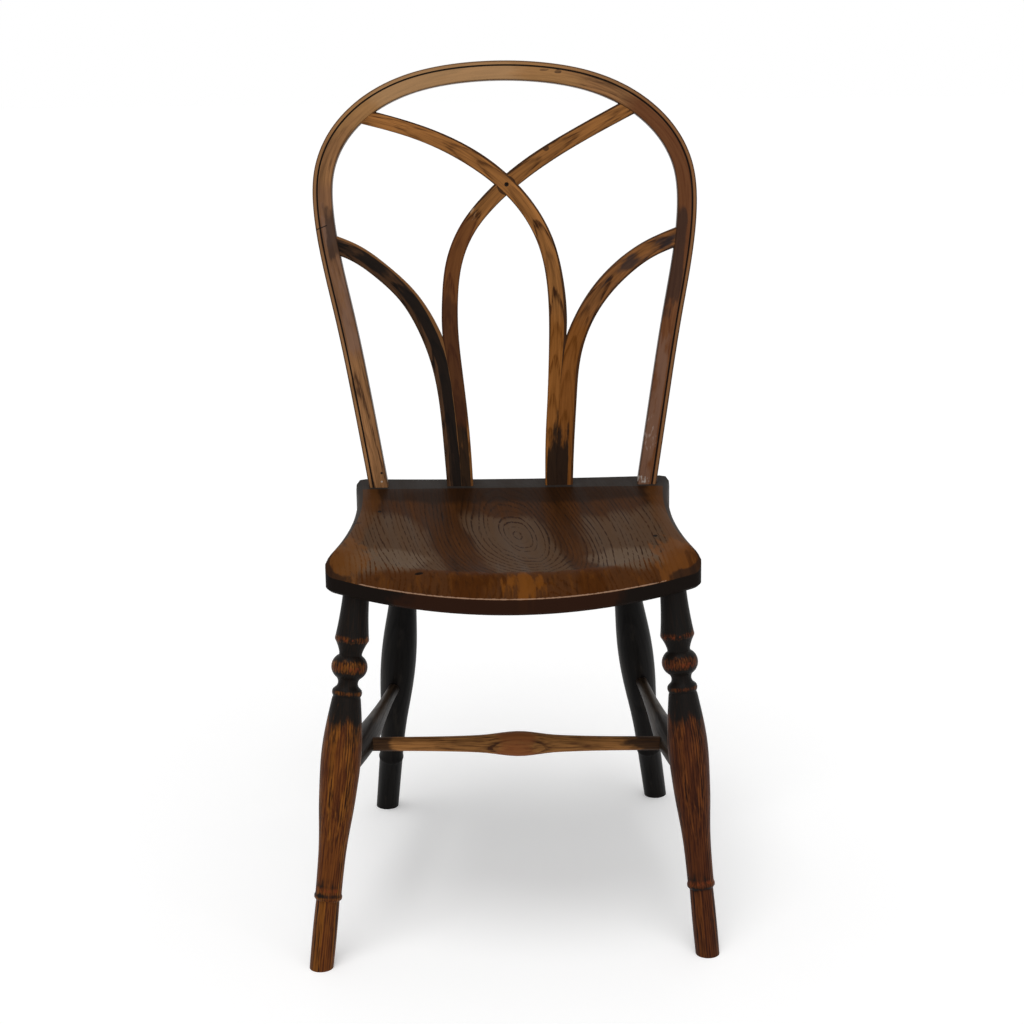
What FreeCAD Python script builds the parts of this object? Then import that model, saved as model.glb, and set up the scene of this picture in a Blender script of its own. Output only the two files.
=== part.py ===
# Interlaced bow-back Windsor side chair, in millimetres.
# The chair faces -Y and +Z is up. Left and right are those of someone looking at
# its front, so left is -X. The origin lies on the floor under the chair's middle.
import FreeCAD, Part
import math
import os
from FreeCAD import Placement, Rotation, Vector

# Seat: one plank, bell shaped in plan and hollowed on top
seat_height = 440.0          # flat strip at the back, above the floor
seat_thickness = 37.0
seat_front_y = -228.5        # middle of the front edge
seat_shoulder_y = -137.0     # where the front edge meets the sides
seat_shoulder_half = 207.3   # half the greatest width
seat_waist_y = 40.0
seat_waist_in = 25.4         # how far the sides draw in at the waist
seat_back_y = 177.0          # back corners
seat_back_in = 17.5          # and at those corners
seat_back_hollow = 8.0       # how far the back edge bows in between its corners
seat_back_corner_r = 13.0
seat_shoulder_r = 24.0
seat_under_chamfer = 3.0
front_drop = 18.5            # how far the front roll falls to its edge
front_roll = 36.0            # how far back the roll reaches
side_round = 9.0             # rounding along the two sides
side_flats = 3               # planed in this many flats
dish_depth = 9.0
dish_r = 164.0               # the hollow is round in plan
dish_middle_y = -34.5

# Back: the plane of the bow leans back and the bow leans a little sideways
back_y = 146.5               # where the plane meets the seat's top
back_rake = 10.0             # degrees
back_lean = 1.05             # degrees, towards -X
back_half = 214.0            # half the bow's width over its middle line
back_height = 485.0          # seat to the top of that line, up the plane
bow_drift = 1.5              # the bow alone also sways towards +X at mid height
bow_width = 22.6
bow_depth = 20.0
bow_edge = 2.6               # chamfers of the bow
bead_width = 4.6             # scratched bead along the outer edge
bead_edge = 1.5
groove_width = 1.6
groove_depth = 1.6
bow_foot_reach = 12.0        # its square feet, before they are cut to the seat
bow_tenon_r = 8.0            # their round tenons, right through the seat
bow_tenon_root = 6.0         # start inside the square feet
wedge_width = 3.0
wedge_height = 16.0
wedge_tip = 0.8

# Half of the bow's middle line: shares of back_half and back_height
bow_half_line = [(0.744, 0.0), (0.820, 0.206), (0.902, 0.412), (0.978, 0.590),
                 (0.998, 0.680), (0.984, 0.765), (0.932, 0.825), (0.770, 0.908),
                 (0.510, 0.969), (0.260, 0.993)]

# The two interlaced laths and the two arches beside them: each point is a share
# of back_half across, of back_height up, and of the bar's own width
lath_width = 19.0
lath_depth = 16.0
lath_a_line = [(0.213, -0.060, 0.76), (0.224, 0.110, 0.76), (0.243, 0.217, 0.78),
               (0.257, 0.285, 0.88), (0.276, 0.375, 1.10), (0.268, 0.495, 1.05),
               (0.222, 0.590, 0.99), (0.113, 0.680, 0.97), (-0.131, 0.782, 1.03),
               (-0.435, 0.852, 0.93), (-0.800, 0.900, 0.91)]
lath_b_line = [(-0.251, -0.060, 0.76), (-0.262, 0.110, 0.76), (-0.281, 0.217, 0.79),
               (-0.299, 0.285, 0.88), (-0.318, 0.375, 1.00), (-0.314, 0.450, 0.99),
               (-0.282, 0.545, 1.00), (-0.190, 0.632, 0.99), (-0.104, 0.678, 1.00),
               (0.122, 0.764, 1.03), (0.381, 0.835, 0.99), (0.740, 0.918, 1.00)]
arch_width = 20.0
arch_left_line = [(-0.313, -0.060, 0.95), (-0.333, 0.110, 0.95), (-0.350, 0.210, 0.95),
                  (-0.385, 0.302, 1.00), (-0.452, 0.391, 1.08), (-0.556, 0.467, 1.02),
                  (-0.678, 0.520, 0.98), (-0.820, 0.566, 1.00), (-1.000, 0.598, 1.05)]
arch_right_line = [(0.283, -0.060, 0.95), (0.306, 0.110, 0.95), (0.325, 0.210, 0.95),
                   (0.348, 0.300, 1.00), (0.408, 0.388, 1.02), (0.510, 0.463, 1.08),
                   (0.644, 0.524, 1.08), (0.788, 0.568, 1.05), (0.960, 0.600, 1.08)]
bar_edge = 2.4               # chamfers of the laths and arches
bar_setback = 1.0            # bars stand this far behind the bow's front face
bar_tenon_width = 9.0
bar_tenon_depth = 8.0
bar_tenon_bow = 11.0         # how far they enter the bow
bar_tenon_seat = 20.0        # and the seat
peg_r = 2.6                  # peg through the crossing

# Legs: where each axis meets the seat's underside and the floor
front_leg_in = {"left": 36.9, "right": 34.6}   # inside the seat's greatest width
front_leg_behind = 87.0      # behind the middle of its front edge
back_leg_in = 66.8           # inside its back corners
back_leg_ahead = 80.5
# Splay of each leg from its top to the floor, outwards and away from the middle
leg_splay = {"front_left": (45.3, 88.8), "front_right": (36.4, 66.8),
             "back_left": (41.0, 115.0), "back_right": (53.3, 140.6)}
leg_tenon_r = 12.0
leg_socket_depth = 23.0
leg_tenon_root = 12.0        # how far the tenon starts inside the leg
leg_spare = 15.0             # turned this much too long at each end, then cut
ring_up = 76.0               # foot rings, measured up each leg
ring_width = 7.0

# Front legs: radii of the turning, and distances down from the seat
neck_top_r = 14.7
shoulder_r = 18.4
shoulder_at = 51.0
neck_r = 12.5
neck_at = 67.5
ball_r = 19.8
ball_at = 82.0
cove_r = 10.9
cove_at = 99.0
collar_r = 16.4
collar_at = 110.0
collar_end = 117.0
front_swell_r = 22.0
front_ankle_r = 14.4
front_ring_r = 15.4
front_foot_r = 12.9
# Its shaft: shares of the way between two radii, and of the way to the foot ring
front_rise = [(0.50, 0.116), (0.90, 0.223), (1.0, 0.316)]
front_fall = [(0.14, 0.442), (0.36, 0.563), (0.66, 0.674), (0.88, 0.781), (0.97, 0.888)]

# Back legs: plain long swell
back_top_r = 12.8
back_swell_r = 21.3
back_ankle_r = 14.5
back_ring_r = 15.3
back_foot_r = 13.9
back_rise = [(0.08, 0.089), (0.25, 0.237), (0.55, 0.361), (0.87, 0.467), (1.0, 0.568)]
back_fall = [(0.06, 0.636), (0.30, 0.719), (0.68, 0.814), (0.92, 0.902)]

# Stretchers: heights of their ends on the leg axes, and their turning
side_heights = {"left": (193.5, 184.0), "right": (180.0, 185.0)}
side_end_r = 6.9
side_swell_r = 14.2
cross_end_r = 8.0
cross_swell_r = 14.4
cross_share = 0.39           # of the way from the front leg to the back leg
stretcher_short = 4.0        # the ends stop this far from the axis they meet
stretcher_plain = 2.0        # and stay plain this far outside what they enter
# Shares of the way from the end's radius to the swell's, and of the turned length
side_line = [(0.15, 0.06), (0.45, 0.17), (0.80, 0.30), (1.0, 0.41), (0.86, 0.52),
             (0.58, 0.62), (0.30, 0.74), (0.10, 0.86), (0.02, 0.95)]
cross_line = [(0.02, 0.10), (0.09, 0.22), (0.24, 0.33), (0.42, 0.39), (0.70, 0.436),
              (0.92, 0.475), (1.0, 0.508), (0.92, 0.54), (0.70, 0.578), (0.42, 0.622),
              (0.24, 0.68), (0.09, 0.78), (0.02, 0.90)]

glue_gap = 0.1               # between a tenon and its hole
arc_tolerance = 0.3          # how closely arcs follow the drawn lines
turning_angle = 30.0         # degrees of a turned arc that one taper covers
turning_step = 28.0          # and the length of a gentle swell
turned_sides = 14            # flats round every turned piece
middle_x = -4.2              # the chair's middle, which becomes the origin
middle_y = 4.3

seat_under = seat_height - seat_thickness
seat_waist_half = seat_shoulder_half - seat_waist_in
seat_back_half = seat_shoulder_half - seat_back_in
lean = math.tan(math.radians(back_lean))


# Small helpers for drawn lines
def share(a, b, t):
    return a + (b - a) * t


def spline(points):
    curve = Part.BSplineCurve()
    curve.interpolate(points)
    return curve


def arcs(curve):
    return [a.toShape() for a in curve.toBiArcs(arc_tolerance)]


def closed_face(edges):
    return Part.Face(Part.Wire(Part.__sortEdges__(edges)))


def line(a, b):
    return Part.makeLine(a, b)


def rod(a, b, r):
    return Part.makeCylinder(r, (b - a).Length, a, b - a)


def slab(low, high):
    wide = 2 * back_half
    return Part.makeBox(2 * wide, 2 * wide, high - low, Vector(-wide, -wide, low))


# Seat: its edge lines in plan, each also a distance outside the real edge
def front_edge(outside, reach):
    bend = (seat_shoulder_y - seat_front_y) / seat_shoulder_half ** 2
    points = []
    for i in range(-3, 4):
        x = reach * i / 3
        out = Vector(2 * bend * x, -1, 0).normalize() * outside
        points.append(Vector(x, seat_front_y + bend * x * x, 0) + out)
    return Part.Wire(arcs(spline(points)))


def arc_edge(a, b, c, outside):
    circle = Part.Arc(a, b, c).toShape().Curve
    points = [circle.Center + (p - circle.Center) * ((circle.Radius + outside) / circle.Radius)
              for p in (a, b, c)]
    return Part.Wire([Part.Arc(*points).toShape()])


def back_edge(outside):
    return arc_edge(Vector(-seat_back_half, seat_back_y, 0),
                    Vector(0, seat_back_y - seat_back_hollow, 0),
                    Vector(seat_back_half, seat_back_y, 0), -outside)


def side_edge(side, outside):
    return arc_edge(Vector(side * seat_shoulder_half, seat_shoulder_y, 0),
                    Vector(side * seat_waist_half, seat_waist_y, 0),
                    Vector(side * seat_back_half, seat_back_y, 0), -outside)


def seat_plank():
    wires = [front_edge(0, seat_shoulder_half), back_edge(0), side_edge(-1, 0), side_edge(1, 0)]
    tall = Vector(0, 0, seat_thickness)
    plank = closed_face([e for w in wires for e in w.Edges]).extrude(tall)
    for side in (-1, 1):
        for end_line, r in ((front_edge(-seat_shoulder_r, seat_shoulder_half), seat_shoulder_r),
                            (back_edge(-seat_back_corner_r), seat_back_corner_r)):
            centre = end_line.section(side_edge(side, -r)).Vertexes[0].Point
            plank = plank.cut(corner_waste(centre, r, wires, tall))
    plank.translate(Vector(0, 0, seat_under))
    under = [e for e in plank.Edges if e.BoundBox.ZMax < seat_under + 0.01]
    return plank.makeChamfer(seat_under_chamfer, under)


# What a rounded corner leaves over: a sector less its cylinder
def corner_waste(centre, r, wires, tall):
    spot = Part.Vertex(centre)
    near = sorted(wires, key=lambda w: w.distToShape(spot)[0])[:2]
    a, b = [centre + (w.distToShape(spot)[1][0][0] - centre) * 3 for w in near]
    sector = Part.Face(Part.makePolygon([centre, a, a + b - centre, b, centre])).extrude(tall)
    return sector.cut(Part.makeCylinder(r, seat_thickness, centre))


# Each side edge is rounded by a wide cutter turned about the centre of its arc
def side_cutter(side):
    arc = side_edge(side, 0).Edges[0].Curve
    points = []
    for i in range(side_flats + 1):
        turn = math.pi / 2 * i / side_flats
        points.append(Vector(arc.Radius + side_round * (1 - math.cos(turn)), 0,
                             side_round * (math.sin(turn) - 1)))
    points += [points[-1] + Vector(0, 0, 1), Vector(0, 0, 1), Vector(0, 0, -side_round), points[0]]
    cutter = Part.Face(Part.makePolygon(points)).revolve(Vector(0, 0, 0), Vector(0, 0, 1), 360)
    cutter.translate(arc.Center + Vector(0, 0, seat_height))
    return cutter


# The front roll: the plank is cut to a larger block, whose top edge is planed to
# flats that touch a circle of the roll's radius, 45 degrees first and then between
def front_block(r):
    far = 1.15 * seat_shoulder_half
    edge = front_edge(r - front_roll, far)
    ends = sorted((edge.OrderedVertexes[i].Point for i in (0, -1)), key=lambda p: p.x)
    corners = [Vector(p.x, far, 0) for p in ends]
    block = closed_face(edge.Edges + [line(ends[0], corners[0]), line(*corners),
                                      line(corners[1], ends[1])])
    block = block.extrude(Vector(0, 0, seat_thickness + r))
    block.translate(Vector(0, 0, seat_under - r))
    eighth, sixteenth = math.tan(math.pi / 8), math.tan(math.pi / 16)
    first = r * (1 - eighth)
    block = block.makeChamfer(first, long_edges(block, seat_height))
    seconds = long_edges(block, seat_height) + long_edges(block, seat_height - first)
    return block.makeChamfer(r * (eighth - sixteenth), seconds)


def seat_blank():
    roll_r = (front_roll ** 2 + front_drop ** 2) / (2 * front_drop)
    bowl_r = (dish_r ** 2 + dish_depth ** 2) / (2 * dish_depth)
    bowl_middle = Vector(0, dish_middle_y, seat_height - dish_depth + bowl_r)
    plank = seat_plank().common(front_block(roll_r))
    for side in (-1, 1):
        plank = plank.cut(side_cutter(side))
    return plank.cut(Part.makeSphere(bowl_r, bowl_middle, Vector(0, 1, 0)))


# Back bars: drawn in the plane of the bow, x across, y up, z towards the front
back_place = Placement(Vector(0, back_y, seat_height), Rotation(Vector(1, 0, 0), 90 - back_rake))


def to_back(shape):
    shape.Placement = back_place
    return shape


def plane_line(rows, width, drift=0.0):
    points = []
    for across, up, wide in rows:
        x = across * back_half + drift * 4 * up * (1 - up)
        points.append(Vector(x - lean * up * back_height, up * back_height, width * wide))
    return spline(points)


# A band beside a drawn line, from one offset to another, each a share of the
# line's own half width plus a distance
def band(curve, left, right, back, front, per_span=3):
    spans = curve.NbKnots - 1
    first, last = curve.FirstParameter, curve.LastParameter
    sides = ([], [])
    for i in range(spans * per_span + 1):
        t = share(first, last, i / (spans * per_span))
        p, d = curve.value(t), curve.tangent(t)[0]
        out = Vector(-d.y, d.x, 0).normalize()
        for side, (part, plus) in zip(sides, (left, right)):
            side.append(Vector(p.x, p.y, back) + out * (part * p.z / 2 + plus))
    edges = []
    for side in sides:
        edges += arcs(spline(side))
    edges += [line(sides[0][0], sides[1][0]), line(sides[0][-1], sides[1][-1])]
    return closed_face(edges).extrude(Vector(0, 0, front - back))


def long_edges(solid, level):
    return [e for e in solid.Edges if "Line" not in e.Curve.TypeId
            and e.BoundBox.ZLength < 1e-4 and abs(e.BoundBox.Center.z - level) < 1e-3]


bar_front = bow_depth / 2 - bar_setback
bar_back = bar_front - lath_depth
bar_mid = (bar_front + bar_back) / 2


def bar(curve):
    solid = band(curve, (1, 0), (-1, 0), bar_back, bar_front)
    edges = long_edges(solid, bar_front) + long_edges(solid, bar_back)
    return solid.makeChamfer(bar_edge, edges)


def bar_tenon(curve, gap):
    w, d = bar_tenon_width / 2 + gap, bar_tenon_depth / 2 + gap
    return band(curve, (0, w), (0, -w), bar_mid - d, bar_mid + d)


bow_rows = [(-x, h, 1.0) for x, h in bow_half_line] + [(0.0, 1.0, 1.0)]
bow_rows += [(x, h, 1.0) for x, h in bow_half_line[::-1]]
bow_line = plane_line(bow_rows, bow_width, bow_drift)
bow_foot = {}
for side, end in (("left", bow_line.FirstParameter), ("right", bow_line.LastParameter)):
    foot, way = bow_line.value(end), bow_line.tangent(end)[0]
    way = Vector(way.x, way.y, 0).normalize() * (1 if side == "left" else -1)
    bow_foot[side] = (Vector(foot.x, foot.y, 0), way)


# The bow with its feet carried a little below the seat's top, before trimming
def bow_blank():
    half = bow_depth / 2
    solid = band(bow_line, (1, 0), (-1, 0), -half, half)
    outer = []
    inner = []
    for e in long_edges(solid, half):
        middle = e.valueAt((e.FirstParameter + e.LastParameter) / 2)
        near = bow_line.value(bow_line.parameter(Vector(middle.x, middle.y, bow_width)))
        off = Vector(middle.x - near.x, middle.y - near.y, 0)
        centre = Vector(-lean * middle.y, 0.5 * back_height, 0) - Vector(middle.x, middle.y, 0)
        (inner if off.dot(centre) > 0 else outer).append(e)
    solid = solid.makeChamfer(bead_edge, outer)
    inner = [e for e in long_edges(solid, half)
             if any((e.CenterOfMass - i.CenterOfMass).Length < 0.01 for i in inner)]
    solid = solid.makeChamfer(bow_edge, inner + long_edges(solid, -half))
    groove = band(bow_line, (1, -bead_width), (1, -bead_width - groove_width),
                  half - groove_depth, half + 1)
    return solid.cut(groove)


os.makedirs("parts", exist_ok=True)
pieces = {}

seat_whole = seat_blank()

# Feet of the bow: the square end sits on the seat and a round tenon goes through
bow = to_back(bow_blank())
feet = []
for side in ("left", "right"):
    foot, way = bow_foot[side]
    square = Part.makeBox(bow_width, bow_foot_reach, bow_depth,
                          Vector(-bow_width / 2, -bow_foot_reach, -bow_depth / 2))
    turn = math.degrees(math.atan2(-way.x, way.y))
    square.Placement = Placement(foot, Rotation(Vector(0, 0, 1), turn))
    bow = bow.fuse(to_back(Part.makeCompound([square])).Solids[0])
    ends = (foot + way * bow_tenon_root, foot - way * (2.5 * seat_thickness))
    feet.append((side, *[back_place.multVec(p) for p in ends]))
bow = bow.removeSplitter().cut(seat_whole)
bow = max(bow.Solids, key=lambda s: s.Volume)


seat = seat_whole
for side, a, b in feet:
    tenon = rod(a, b, bow_tenon_r).cut(slab(0, seat_under))
    bow = bow.fuse(tenon)
    hole = rod(a - (b - a), b, bow_tenon_r + glue_gap)
    seat = seat.cut(hole)
    t = (seat_under - a.z) / (b.z - a.z)
    end = a + (b - a) * t
    wedge = Part.makeBox(wedge_width, 4 * bow_tenon_r, wedge_height,
                         Vector(-wedge_width / 2, -2 * bow_tenon_r, 0))
    wedge = wedge.makeChamfer((wedge_width - wedge_tip) / 2,
                              [e for e in wedge.Edges if e.BoundBox.ZMin > wedge_height - 0.01
                               and e.BoundBox.YLength > bow_tenon_r])
    wedge.Placement = Placement(end, Rotation())
    wedge = wedge.common(rod(a, b, bow_tenon_r))
    bow = bow.cut(wedge)
    pieces["wedge_" + side] = wedge

# Laths and arches
lines = {"lath_right_to_left": (lath_a_line, lath_width),
         "lath_left_to_right": (lath_b_line, lath_width),
         "arch_left": (arch_left_line, arch_width),
         "arch_right": (arch_right_line, arch_width)}
curves = {n: plane_line(rows, width) for n, (rows, width) in lines.items()}
bow_inside = band(bow_line, (-1, bar_tenon_bow), (-1, -1), -bow_depth, bow_depth)
bow_pocket = band(bow_line, (-1, bar_tenon_bow + glue_gap * 3), (-1, -1),
                  -bow_depth, bow_depth)
beyond_bow = band(bow_line, (1, 2 * bow_width), (-1, 0), -bow_depth, bow_depth)
seat_in_back = seat_whole.copy()
seat_in_back.Placement = back_place.inverse()


def box_in_back(low, high):
    return Part.makeBox(2 * back_half, high - low, 4 * bow_depth,
                        Vector(-back_half, low, -2 * bow_depth))


below_tenons = box_in_back(-3 * seat_thickness, -bar_tenon_seat)
seat_pocket = box_in_back(-bar_tenon_seat - 3 * glue_gap, seat_thickness)

lap_a = band(curves["lath_right_to_left"], (1, 0), (-1, 0), bar_back - 1, bar_front + 1)
lap_b = band(curves["lath_left_to_right"], (1, 0), (-1, 0), bar_back - 1, bar_front + 1)
crossing = max(lap_a.common(lap_b).Solids, key=lambda s: s.Volume)
front_half = Part.makeBox(back_half, back_height, lath_depth, Vector(-back_half / 2, 0, bar_mid))
rear_half = front_half.copy()
rear_half.translate(Vector(0, 0, -lath_depth))
peg_at = Vector(crossing.CenterOfMass.x, crossing.CenterOfMass.y, bar_back)
peg = Part.makeCylinder(peg_r, lath_depth, peg_at)

for name, curve in curves.items():
    whole = bar(curve)
    if name.startswith("arch"):
        whole = whole.cut(lap_a if name == "arch_right" else lap_b)
    elif name == "lath_right_to_left":
        whole = whole.cut(crossing.common(rear_half)).cut(peg)
    else:
        whole = whole.cut(crossing.common(front_half)).cut(peg)
    whole = whole.cut(beyond_bow).cut(seat_in_back)
    whole = max(whole.Solids, key=lambda s: s.Volume)
    thin = bar_tenon(curve, 0.0)
    wide = bar_tenon(curve, glue_gap)
    ends = [thin.common(bow_inside), thin.common(seat_in_back).cut(below_tenons)]
    for end in ends:
        whole = whole.fuse(end)
    bow = bow.cut(to_back(wide.common(bow_pocket)))
    seat = seat.cut(to_back(wide.common(seat_pocket)))
    pieces[name] = to_back(whole.removeSplitter())
pieces["crossing_peg"] = to_back(peg)


# Legs: a turned shape about its axis, measured down from the seat's underside.
# Hollows and beads are arcs and swells are curves, both turned as short tapers
def turned(outline):
    points = [Vector(outline[0][1], 0, outline[0][2])]
    for step in outline[1:]:
        at, to = points[-1], Vector(step[-2], 0, step[-1])
        count = 1
        if step[0] == "arc":
            curve = Part.Arc(at, Vector(step[1], 0, step[2]), to).toShape()
            count = math.ceil(curve.Length / curve.Curve.Radius / math.radians(turning_angle))
        elif step[0] == "curve":
            curve = spline([at] + [Vector(r, 0, z) for r, z in step[1]] + [to]).toShape()
            count = math.ceil(curve.Length / turning_step)
        for i in range(1, count):
            points.append(curve.valueAt(share(curve.FirstParameter, curve.LastParameter, i / count)))
        points.append(to)
    step = 2 * math.pi / turned_sides
    rings = []
    for p in points:
        rings.append([Vector(p.x * math.cos(i * step), p.x * math.sin(i * step), p.z)
                      for i in range(turned_sides)])
    faces = [Part.Face(Part.makePolygon(ring + ring[:1])) for ring in (rings[0], rings[-1])]
    for a, b in zip(rings, rings[1:]):
        for i in range(turned_sides):
            faces.append(Part.Face(Part.makePolygon([a[i - 1], a[i], b[i], b[i - 1], a[i - 1]])))
    return Part.Solid(Part.Shell(faces))


def on_axis(shape, top, foot):
    shape.Placement = Placement(top, Rotation(Vector(0, 0, 1), foot - top))
    return shape


def swelling(rise, fall, radii, start, end):
    rows = [(share(radii[0], radii[1], r), t) for r, t in rise]
    rows += [(share(radii[1], radii[2], r), t) for r, t in fall]
    return [(r, share(start, end, t)) for r, t in rows]


def front_leg(length):
    ring = length - ring_up
    shaft = swelling(front_rise, front_fall, (collar_r, front_swell_r, front_ankle_r),
                     collar_end, ring - ring_width)
    return turned([("start", neck_top_r - 0.4, -leg_spare),
                   ("arc", neck_top_r + 0.8, 0.45 * shoulder_at, shoulder_r - 0.1, shoulder_at - 2),
                   ("arc", shoulder_r + 0.2, shoulder_at + 0.5, shoulder_r - 0.8, shoulder_at + 3),
                   ("arc", share(shoulder_r, neck_r, 0.68), share(shoulder_at, neck_at, 0.58),
                    neck_r, neck_at - 1),
                   ("line", neck_r, neck_at + 1.5),
                   ("arc", ball_r, ball_at, share(cove_r, ball_r, 0.38), share(ball_at, cove_at, 0.66)),
                   ("arc", cove_r, cove_at, cove_r + 1.3, cove_at + 4.5),
                   ("line", collar_r - 1.0, collar_at - 3.5),
                   ("arc", collar_r, collar_at - 0.5, collar_r - 0.7, collar_at + 3),
                   ("line", collar_r - 1.5, collar_at + 4.5),
                   ("line", collar_r - 0.6, collar_end),
                   ("curve", shaft, front_ankle_r, ring - ring_width),
                   ("line", front_ring_r - 0.3, ring - ring_width + 1.8),
                   ("arc", front_ring_r, ring - 3.5, front_ring_r - 0.4, ring - 1.2),
                   ("line", front_foot_r, ring + 1.2),
                   ("arc", front_foot_r + 0.4, ring + 22, front_foot_r - 0.2, length + leg_spare)])


def back_leg(length):
    ring = length - ring_up
    shaft = swelling(back_rise, back_fall, (back_top_r, back_swell_r, back_ankle_r),
                     0, ring - ring_width)
    return turned([("start", back_top_r, -leg_spare),
                   ("curve", shaft, back_ankle_r, ring - ring_width),
                   ("line", back_ring_r - 0.2, ring - ring_width + 2),
                   ("arc", back_ring_r, ring - 3.5, back_ring_r - 0.2, ring - 1.5),
                   ("line", back_ankle_r - 0.1, ring + 0.5),
                   ("line", back_foot_r - 0.2, length + leg_spare)])


axes = {}
legs = {}
for name, (out, away) in leg_splay.items():
    end, side = name.split("_")
    way = -1 if side == "left" else 1
    if end == "front":
        x, y = seat_shoulder_half - front_leg_in[side], seat_front_y + front_leg_behind
        away = -away
    else:
        x, y = seat_back_half - back_leg_in, seat_back_y - back_leg_ahead
    top = Vector(way * x, y, seat_under)
    foot = Vector(way * (x + out), y + away, 0)
    length = (foot - top).Length
    down = (foot - top).normalize()
    axes[name] = (top, foot)
    body = on_axis((front_leg if end == "front" else back_leg)(length), top, foot)
    body = body.cut(slab(-2 * leg_spare, 0)).cut(slab(seat_under, seat_under + 2 * leg_spare))
    root = top + down * leg_tenon_root
    legs[name] = body.fuse(rod(top - down * leg_socket_depth, root, leg_tenon_r))
    seat = seat.cut(rod(top - down * (leg_socket_depth + 3 * glue_gap), root,
                        leg_tenon_r + glue_gap))


def at_height(name, z):
    top, foot = axes[name]
    return foot + (top - foot) * (z / seat_under)


# Stretchers: plain round ends run into their holes, the middle swells
def stretcher(a, b, end_r, swell_r, rows, host_r):
    way = (b - a).normalize()
    a, b = a + way * stretcher_short, b - way * stretcher_short
    length, plain = (b - a).Length, host_r + stretcher_plain
    inner = [(share(end_r, swell_r, r), share(plain, length - plain, t)) for r, t in rows]
    return on_axis(turned([("start", end_r, 0), ("line", end_r, plain),
                           ("curve", inner, end_r, length - plain),
                           ("line", end_r, length)]), a, b), a, b, way


def socket(host, a, way, r):
    deep = a - way * (3 * glue_gap)
    return host.cut(rod(deep, deep + way * (2 * front_swell_r), r + glue_gap))


sides = {}
for side in ("left", "right"):
    front, back = "front_" + side, "back_" + side
    a = at_height(front, side_heights[side][0])
    b = at_height(back, side_heights[side][1])
    solid, p, q, way = stretcher(a, b, side_end_r, side_swell_r, side_line, front_swell_r)
    legs[front] = socket(legs[front], p, way, side_end_r)
    legs[back] = socket(legs[back], q, way * -1, side_end_r)
    sides[side] = [solid, a + (b - a) * cross_share]

cross, p, q, way = stretcher(sides["left"][1], sides["right"][1], cross_end_r,
                             cross_swell_r, cross_line, side_swell_r)
sides["left"][0] = socket(sides["left"][0], p, way, cross_end_r)
sides["right"][0] = socket(sides["right"][0], q, way * -1, cross_end_r)

pieces["seat"] = seat
pieces["bow"] = bow
for name in legs:
    pieces["leg_" + name] = legs[name]
pieces["stretcher_left"] = sides["left"][0]
pieces["stretcher_right"] = sides["right"][0]
pieces["stretcher_cross"] = cross

for name in sorted(pieces):
    shape = max(pieces[name].Solids, key=lambda s: s.Volume)
    shape.translate(Vector(-middle_x, -middle_y, 0))
    print(name, "valid", shape.isValid(), "volume", round(shape.Volume))
    shape.exportStep("parts/" + name + ".step")
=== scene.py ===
import math

import bpy
from mathutils import Matrix, Vector


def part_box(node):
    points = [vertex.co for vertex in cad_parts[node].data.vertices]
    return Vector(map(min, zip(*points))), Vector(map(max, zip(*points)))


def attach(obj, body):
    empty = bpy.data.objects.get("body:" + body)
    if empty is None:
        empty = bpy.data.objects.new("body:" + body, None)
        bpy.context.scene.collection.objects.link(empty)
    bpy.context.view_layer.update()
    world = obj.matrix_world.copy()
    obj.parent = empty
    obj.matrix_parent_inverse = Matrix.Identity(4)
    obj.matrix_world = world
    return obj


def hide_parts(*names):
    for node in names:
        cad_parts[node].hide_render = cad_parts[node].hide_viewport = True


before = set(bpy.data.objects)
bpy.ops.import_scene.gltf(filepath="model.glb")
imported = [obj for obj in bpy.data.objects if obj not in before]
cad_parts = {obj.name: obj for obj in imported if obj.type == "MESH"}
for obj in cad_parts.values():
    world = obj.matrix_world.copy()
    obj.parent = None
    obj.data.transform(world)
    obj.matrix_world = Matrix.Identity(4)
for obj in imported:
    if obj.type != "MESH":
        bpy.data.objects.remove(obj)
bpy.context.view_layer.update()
bpy.context.scene.view_settings.view_transform = "Standard"

# Camera: in front of the chair, a little above the top of its back, looking down
# at the seat. It stands nearly level and almost on the chair's middle line.
camera_place = Vector((0.0108, -2.7035, 1.2607))
camera_turn, camera_down, camera_roll = (math.radians(a) for a in (-0.159, 16.742, -0.774))
focal_px, picture_px, sensor_width = 2487.6, 1024, 36.0

ahead = Vector((math.sin(camera_turn) * math.cos(camera_down),
                math.cos(camera_turn) * math.cos(camera_down), -math.sin(camera_down)))
level = Vector((math.cos(camera_turn), -math.sin(camera_turn), 0.0))
above = level.cross(ahead)
right = math.cos(camera_roll) * level + math.sin(camera_roll) * above
up = math.cos(camera_roll) * above - math.sin(camera_roll) * level
camera = bpy.data.objects.new("camera", bpy.data.cameras.new("camera"))
bpy.context.scene.collection.objects.link(camera)
camera.matrix_world = Matrix.Translation(camera_place) @ Matrix((right, up, -ahead)).transposed().to_4x4()
camera.data.sensor_width = sensor_width
camera.data.lens = focal_px * sensor_width / picture_px
bpy.context.scene.camera = camera

# Studio: white paper floor, white room and two wide soft lamps far away. The floor
# keeps the chair's shadow, and what the camera sees of the room is plain white.
floor_size, floor_grey, floor_glow = 14.0, 0.88, 0.235
room_light, key_light, fill_light = 0.48, 1.05, 0.70
key_spread, fill_spread = 30.0, 70.0


def node(tree, kind, *feeds, **settings):
    """Adds a node. Its sockets take, in their order, another's socket, a value or None."""
    made = tree.nodes.new("ShaderNode" + kind)
    for name, value in settings.items():
        setattr(made, name, value)
    for place, feed in enumerate(feeds):
        if isinstance(feed, bpy.types.NodeSocket):
            tree.links.new(feed, made.inputs[place])
        elif feed is not None:
            made.inputs[place].default_value = feed
    return made


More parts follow.
